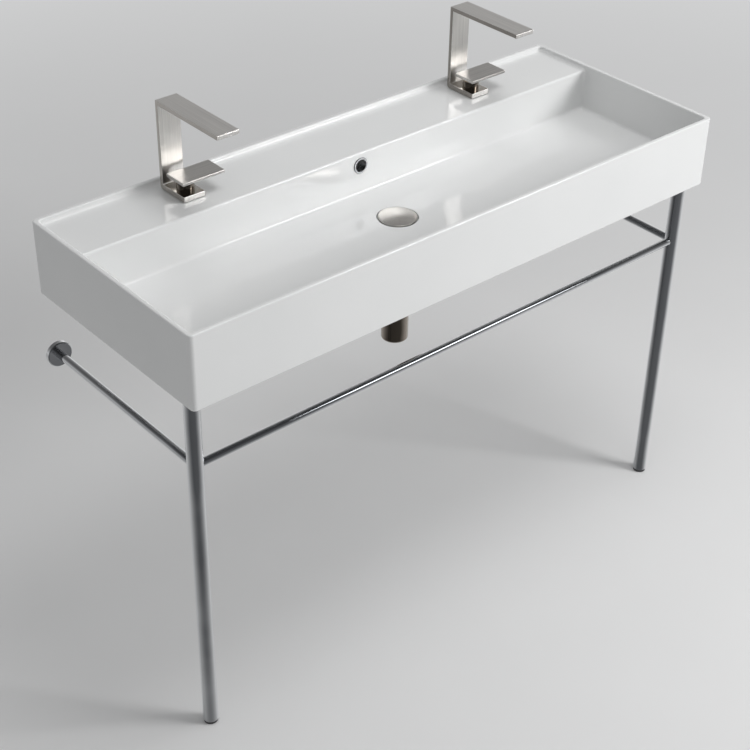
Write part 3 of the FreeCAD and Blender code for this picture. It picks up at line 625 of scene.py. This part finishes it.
def makeStrip(side):
    m = stripMake
    node = f"mixer_{side}_body"
    low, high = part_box(node)
    front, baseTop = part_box(f"mixer_{side}_lever")[0].y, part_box(f"mixer_{side}_collar")[0].z
    column, under = high.y - m["thick"], high.z - m["thick"]
    outline = ((front, low.z, 0), (high.y, low.z, m["bend"]), (high.y, high.z, 0), (low.y, high.z, 0),
               (low.y, under, 0), (column, under, 0), (column, baseTop, 0), (front, baseTop, 0))
    bm = bmesh.new()
    line = drawLine(bm, [(Vector((low.x, y, z)), turn) for y, z, turn in outline], closed=True)
    bmesh.ops.edgeloop_fill(bm, edges=line)
    made = bmesh.ops.extrude_face_region(bm, geom=bm.faces[:])["geom"]
    bmesh.ops.translate(bm, verts=madeVerts(made), vec=(high.x - low.x, 0, 0))
    bmesh.ops.recalc_face_normals(bm, faces=bm.faces[:])
    soften(bm, cornerEdges(bm), m["edge"], m["edgeSteps"])

    # bore for the cartridge, and the pocket that holds the outlet
    centre = middle(f"mixer_{side}_collar")
    centre.z = baseTop
    hole = boreHole(bm, flatFaces(bm, 2, baseTop), centre, 2, m["boreCell"], m["bore"])[0]
    pullOut(bm, hole, move=(0, 0, low.z - baseTop))
    centre.z = low.z
    boreHole(bm, flatFaces(bm, 2, low.z), centre, 2, m["boreCell"], m["bore"])
    outLow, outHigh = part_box(f"mixer_{side}_outlet")
    cells = sliceFaces(bm, flatFaces(bm, 2, under), 0, (outLow.x, outHigh.x))
    cells = sliceFaces(bm, cells, 1, (outLow.y, outHigh.y))
    spots = [(f, f.calc_center_median()) for f in cells]
    pocket = [f for f, c in spots if outLow.x < c.x < outHigh.x and outLow.y < c.y < outHigh.y]
    pushFaces(bm, pocket, outHigh.z - under)
    strip = place(f"{side}MixerStrip", bm, finishes["brushed_nickel"], node)
    strip.data.materials.append(paintedReflectionFlank)  # the flanks and the top of the base are polished, and their darker colour is a painted dark reflection
    for face in strip.data.polygons:
        if abs(face.normal.x) > m["sideways"] or near(face.center.z, baseTop):
            face.material_index = 1
    return strip


collarMake = {"turretBore": 0.01205, "edge": 0.0008}


def makeCollar(side):
    m = collarMake
    node = f"mixer_{side}_collar"
    low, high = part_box(node)
    spot = middle(node)
    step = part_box(f"mixer_{side}_cartridge")[1].z
    radius, bore = high.x - spot.x, stripMake["bore"]
    outline = ((radius, low.z, 0), (radius, high.z, m["edge"]), (m["turretBore"], high.z, m["edge"]),
               (m["turretBore"], step, 0), (bore, step, 0), (bore, low.z, 0))
    bm = turned(outline, Vector((spot.x, spot.y, 0)), closed=True)
    return place(f"{side}MixerCollar", bm, finishes["polished_nickel"], node)


leverMake = {"thick": 0.006, "edge": 0.0012, "edgeSteps": 4, "boss": 0.008, "bossCell": 0.0095,
             "socket": 0.0057, "socketDepth": 0.004}


def makeLever(side):
    m = leverMake
    node = f"mixer_{side}_lever"
    low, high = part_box(node)
    axis = middle(f"mixer_{side}_collar")
    under = high.z - m["thick"]
    plate = ((low.x + high.x) / 2, (low.y + high.y) / 2, (under + high.z) / 2)
    bm = bmesh.new()
    bmesh.ops.create_cube(bm, size=1.0)
    bmesh.ops.scale(bm, verts=bm.verts[:], vec=(high.x - low.x, high.y - low.y, m["thick"]))
    bmesh.ops.translate(bm, verts=bm.verts[:], vec=plate)
    soften(bm, bm.edges[:], m["edge"], m["edgeSteps"])
    centre = Vector((axis.x, axis.y, under))
    ring = boreHole(bm, flatFaces(bm, 2, under), centre, 2, m["bossCell"], m["boss"])[0]
    ring = pullOut(bm, ring, move=(0, 0, low.z - under))
    ring = pullOut(bm, ring, grow=m["socket"] / m["boss"], about=Vector((axis.x, axis.y, low.z)))
    ring = pullOut(bm, ring, move=(0, 0, under + m["socketDepth"] - low.z))
    bmesh.ops.edgeloop_fill(bm, edges=ring)
    return place(f"{side}MixerLever", bm, brushedLever, node)


for side in sides:
    makeStrip(side)
    makeCollar(side)
    makeLever(side)
print("mixers:", len(sides))


# Legs, feet, rails and wall flanges

legMake = {"wall": 0.0015, "edge": 0.0004, "steps": 96}


def makeLeg(side):
    m = legMake
    node = f"leg_{side}"
    low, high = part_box(node)
    spot = middle(node)
    outline = tube(high.x - spot.x, low.z, high.z, m["wall"], m["edge"])
    bm = turned(outline, Vector((spot.x, spot.y, 0)), closed=True, steps=m["steps"])
    return place(f"{side}LegTube", bm, finishes["chrome"], node)


footMake = {"chamfer": 0.001, "edge": 0.0004, "legGap": 0.0003,
            "stud": 0.004, "pitch": 0.00125, "crest": 0.6, "cut": 0.0006}


def makeFoot(side):
    m = footMake
    node = f"foot_{side}"
    low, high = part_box(node)
    spot = middle(node)
    radius, padTop = high.x - spot.x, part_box(f"leg_{side}")[0].z - m["legGap"]
    turns = int((high.z - padTop) / m["pitch"]) - 1
    valley = m["stud"] - m["cut"]
    outline = [(0, low.z, 0), (radius - m["chamfer"], low.z, 0), (radius, low.z + m["chamfer"], 0),
               (radius, padTop, m["edge"]), (m["stud"], padTop, 0)]
    for i in range(turns):
        outline += [(m["stud"], padTop + m["pitch"] * (i + m["crest"]), 0),
                    (valley, padTop + m["pitch"] * (i + 1), 0)]
    outline += [(valley, high.z, 0), (0, high.z, 0)]
    bm = turned(outline, Vector((spot.x, spot.y, 0)), steps=48)
    return place(f"{side}FootPad", bm, finishes[slotOf[node]], node, sharp=30)


railMake = {"wall": 0.0015, "steps": 64}


def legRound(side):
    # middle and radius of a leg, which the rails end on
    leg = middle(f"leg_{side}")
    return leg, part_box(f"leg_{side}")[1].x - leg.x


def makeFrontRail():
    low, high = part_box("front_rail")
    spot = middle("front_rail")
    leg, legRadius = legRound("right")
    outline = tube(high.z - spot.z, low.x, high.x, railMake["wall"])
    bm = turned(outline, Vector((0, leg.y, spot.z)), toRight, closed=True, steps=railMake["steps"])
    for v in bm.verts:  # both ends follow the round of the legs
        v.co.x = math.copysign(leg.x - math.sqrt(legRadius ** 2 - (v.co.y - leg.y) ** 2), v.co.x)
    return place("frontRailTube", bm, finishes["chrome"], "front_rail")


def makeSideRail(side):
    node = f"side_rail_{side}"
    low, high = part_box(node)
    spot = middle(node)
    leg, legRadius = legRound(side)
    outline = tube(high.z - spot.z, low.y, high.y, railMake["wall"])
    bm = turned(outline, Vector((leg.x, 0, spot.z)), toWall, closed=True, steps=railMake["steps"])
    for v in bm.verts:
        if v.co.y < 0:
            v.co.y = leg.y + math.sqrt(legRadius ** 2 - (v.co.x - leg.x) ** 2)
    return place(f"{side}RailTube", bm, finishes["chrome"], node)


coverMake = {"chamfer": 0.0015, "bore": 0.0076, "hollow": 0.0204, "wall": 0.002}


def makeCover(side):
    m = coverMake
    node = f"flange_cover_{side}"
    low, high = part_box(node)
    spot = middle(node)
    radius, depth = high.x - spot.x, high.y - low.y
    inner = depth - m["wall"]
    outline = ((m["bore"], depth, 0), (radius - m["chamfer"], depth, 0), (radius, depth - m["chamfer"], 0),
               (radius, 0, 0), (m["hollow"], 0, 0), (m["hollow"], inner, 0), (m["bore"], inner, 0))
    bm = turned(outline, Vector((spot.x, high.y, spot.z)), -toWall, closed=True)
    return place(f"{side}FlangeCover", bm, finishes["chrome"], node, sharp=30)


for side in sides:
    makeLeg(side)
    makeFoot(side)
    makeSideRail(side)
    makeCover(side)
makeFrontRail()
print("stand: legs, feet, rails and flanges")


# Trap and waste pipe

cupMake = {"wall": 0.002, "edge": 0.005, "seam": 0.0007}


def makeCup():
    m = cupMake
    low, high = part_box("trap_cup")
    outer, inner, floor = high.x, high.x - m["wall"], low.z + m["wall"]
    outline = ((0, low.z, 0), (outer, low.z, m["edge"]), (outer, high.z, m["seam"]), (inner, high.z, 0),
               (inner, floor, 0), (0, floor, 0))
    bm = turned(outline, Vector((0, drainAt.y, 0)), steps=96, segments=7)
    return place("trapCupShell", bm, finishes["polished_nickel"], "trap_cup")


headMake = {"wall": 0.002, "edge": 0.0012, "seam": 0.0007, "gap": 0.0002,
            "bossBore": 0.016, "topPlate": 0.003}
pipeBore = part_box("outlet_pipe")[1].x + headMake["gap"]


def makeHead():
    m = headMake
    low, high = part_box("trap_head")
    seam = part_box("trap_seal")[1].z
    outer, under = high.x, high.z - m["topPlate"]
    spigot = outer - m["wall"] - m["gap"]
    inside = spigot - m["wall"]
    outline = ((spigot, low.z, 0), (spigot, seam, 0), (outer, seam, m["seam"]), (outer, high.z, m["edge"]),
               (pipeBore, high.z, 0), (pipeBore, under, 0), (inside, under, 0), (inside, low.z, 0))
    bm = turned(outline, Vector((0, drainAt.y, 0)), closed=True, steps=96)
    old = set(bm.verts)
    boss = tube(m["bossBore"] + m["wall"], 0, high.y, m["wall"])
    turned(boss, Vector((0, 0, middle("outlet_pipe").z)), toWall, closed=True, bm=bm)
    for v in bm.verts:  # the outlet boss grows out of the round of the head
        if v not in old and v.co.y < high.y / 2:
            v.co.y = drainAt.y + math.sqrt(outer ** 2 - v.co.x ** 2) - m["seam"]
    return place("trapHeadShell", bm, finishes["polished_nickel"], "trap_head")


nutMake = {"edge": 0.0012, "lip": 0.006, "grooveAt": (0.25, 0.75), "groove": 0.0007, "grooveWide": 0.001,
           "grooveFlat": 0.0006}


def makeSlipNut(name, node, along, bore, lipBore):
    # a round nut with a groove near each end and a lip that holds its washer
    m = nutMake
    low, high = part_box(node)
    start, end = (low.z, high.z) if along is up else (-high.y, -low.y)
    radius, groove, lip = high.x, high.x - m["groove"], start + m["lip"]
    outline = [(radius, start, m["edge"])]
    for share in m["grooveAt"]:
        mark = start + share * (end - start)
        outline += [(radius, mark - m["grooveWide"], 0), (groove, mark - m["grooveFlat"], 0),
                    (groove, mark + m["grooveFlat"], 0), (radius, mark + m["grooveWide"], 0)]
    outline += [(radius, end, m["edge"]), (bore, end, 0), (bore, lip, 0), (lipBore, lip, 0),
                (lipBore, start, 0)]
    at = Vector((0, drainAt.y, 0)) if along is up else Vector((0, 0, middle(node).z))
    bm = turned(outline, at, along, closed=True, steps=96)
    return place(name, bm, finishes["polished_nickel"], node, sharp=25)


pipeMake = {"wall": 0.0012}


def makePipe(name, node, along):
    low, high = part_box(node)
    start, end = (low.z, high.z) if along is up else (low.y, high.y)
    at = Vector((0, drainAt.y, 0)) if along is up else Vector((0, 0, middle(node).z))
    bm = turned(tube(high.x, start, end, pipeMake["wall"]), at, along, closed=True)
    return place(name, bm, finishes["polished_nickel"], node)


rosetteMake = {"round": 0.005, "wall": 0.0015}


def makeRosette():
    m = rosetteMake
    low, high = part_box("wall_rosette")
    radius, depth = high.x, high.y - low.y
    hollow, inner = radius - m["wall"] - m["round"], depth - m["wall"]
    outline = ((pipeBore, depth, 0), (radius, depth, m["round"]), (radius, 0, 0), (hollow, 0, 0),
               (hollow, inner, 0), (pipeBore, inner, 0))
    bm = turned(outline, Vector((0, high.y, middle("wall_rosette").z)), -toWall, closed=True, segments=7)
    return place("wallRosetteDish", bm, finishes["polished_nickel"], "wall_rosette")


makeCup()
makeHead()
makeSlipNut("inletNutRing", "inlet_nut", up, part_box("inlet_washer")[1].x, pipeBore)
makeSlipNut("trapTopRing", "trap_top_nut", up, pipeBore, pipeBore - headMake["gap"])
makeSlipNut("outletNutRing", "outlet_nut", -toWall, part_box("outlet_washer")[1].x, pipeBore)
makePipe("inletTubeShell", "inlet_tube", up)
makePipe("outletPipeShell", "outlet_pipe", toWall)
makeRosette()
print("trap: cup, head, nuts, pipes and rosette")

for node, part in parts.items():
    if node not in dressed:
        for slot in part.material_slots:
            slot.material = finishes[slotOf[node]]
print("kept from the frame:", len(parts) - len(dressed), "nodes")


# Floor, sky, lamps and camera

floorMake = {"size": 60.0, "dark": (0.788, 0.788, 0.788), "light": (0.80, 0.80, 0.80),
             "fadeStart": 1.2, "fadeEnd": 5.0}
skyMake = {"shade": (0.82, 0.825, 0.83), "light": 0.36, "fade": ((0.22, 0.60), (0.5, 0.34)),
           "top": (0.22, 0.22, 0.225)}


def makeFloor():
    m = floorMake
    bm = bmesh.new()
    bmesh.ops.create_grid(bm, x_segments=1, y_segments=1, size=m["size"] / 2)
    mesh = bpy.data.meshes.new("paleFloor")
    bm.to_mesh(mesh)
    bm.free()
    floor = bpy.data.objects.new("paleFloor", mesh)
    bpy.context.scene.collection.objects.link(floor)
    finish = newFinish("paleFloor", Roughness=0.9)
    varyColour(finish, grain(finish, (3, 3, 3), detail=2.0), m["dark"], m["light"])
    mesh.materials.append(finish)

    # far off, the floor runs into the pale sky
    spot = addNode(finish, "ShaderNodeNewGeometry", {})
    away = addNode(finish, "ShaderNodeVectorMath", {0: spot.outputs["Position"]}, operation="LENGTH")
    far = addNode(finish, "ShaderNodeMapRange", {"Value": away.outputs["Value"], "From Min": m["fadeStart"],
                                                 "From Max": m["fadeEnd"]})
    seen = addNode(finish, "ShaderNodeMath", {0: far.outputs["Result"], 1: lookedAt(finish)},
                   operation="MULTIPLY")
    glow = addNode(finish, "ShaderNodeEmission", {"Color": (*skyMake["shade"], 1), "Strength": 1.0})
    mix = addNode(finish, "ShaderNodeMixShader", {0: seen.outputs[0], 2: glow.outputs[0],
                                                  1: finish.node_tree.nodes["Principled BSDF"].outputs[0]})
    # from below, the floor lets the underside be seen
    clear = addNode(finish, "ShaderNodeBsdfTransparent", {})
    both = addNode(finish, "ShaderNodeMixShader", {0: spot.outputs["Backfacing"], 1: mix.outputs[0],
                                                   2: clear.outputs[0]})
    finish.node_tree.links.new(both.outputs[0], finish.node_tree.nodes["Material Output"].inputs["Surface"])


def makeSky():
    m = skyMake
    sky = bpy.data.worlds.new("paleStudio")
    sky.use_nodes = True
    bpy.context.scene.world = sky
    light = sky.node_tree.nodes["Background"]
    light.inputs["Color"].default_value = (*m["shade"], 1)
    light.inputs["Strength"].default_value = m["light"] / m["shade"][0]
    coords = addNode(sky, "ShaderNodeTexCoord", {})
    height = addNode(sky, "ShaderNodeSeparateXYZ", {"Vector": coords.outputs["Generated"]})
    ramp = addNode(sky, "ShaderNodeValToRGB", {"Fac": height.outputs["Z"]})
    fade = ramp.color_ramp.elements  # pale at the horizon, darker overhead
    fade[0].color = (*m["shade"], 1)
    fade[1].color = (*m["top"], 1)
    for spot, shade in m["fade"]:
        fade.new(spot).color = (shade, shade, shade, 1)
    seen = addNode(sky, "ShaderNodeBackground", {"Color": ramp.outputs["Color"], "Strength": 1.0})
    mix = addNode(sky, "ShaderNodeMixShader", {0: lookedAt(sky), 1: light.outputs[0], 2: seen.outputs[0]})
    sky.node_tree.links.new(mix.outputs[0], sky.node_tree.nodes["World Output"].inputs["Surface"])


keyMake = {"at": (1.75, -2.35, 1.95), "aim": (0.0, 0.0, 0.75), "size": 1.0, "power": 51.0}
topMake = {"at": (0.3, -0.5, 3.4), "aim": (0.0, 0.0, 0.75), "size": 1.2, "power": 23.0}


def makeLamp(name, m):
    lamp = bpy.data.lights.new(name, "AREA")
    lamp.shape = "SQUARE"
    lamp.size = m["size"]
    lamp.energy = m["power"]
    holder = bpy.data.objects.new(name, lamp)
    holder.location = m["at"]
    holder.rotation_euler = (Vector(m["aim"]) - holder.location).to_track_quat("-Z", "Y").to_euler()
    bpy.context.scene.collection.objects.link(holder)


cameraMake = {"eye": (-1.6723, -1.8743, 2.1386), "target": (-0.0786, -0.05, 0.4662), "roll": 1.12,
              "lens": 74.98, "sensor": 36.0}


def makeCamera():
    m = cameraMake
    lens = bpy.data.cameras.new("viewer")
    lens.lens = m["lens"]
    lens.sensor_width = m["sensor"]
    viewer = bpy.data.objects.new("viewer", lens)
    viewer.location = m["eye"]
    look = Vector(m["target"]) - viewer.location
    turn = look.to_track_quat("-Z", "Y") @ Quaternion(up, math.radians(m["roll"]))
    viewer.rotation_euler = turn.to_euler()
    bpy.context.scene.collection.objects.link(viewer)
    bpy.context.scene.camera = viewer


makeFloor()
makeSky()
makeLamp("key", keyMake)
makeLamp("top", topMake)
makeCamera()
bpy.context.scene.view_settings.view_transform = "Standard"
print("stage: floor, sky, two lamps and the camera")
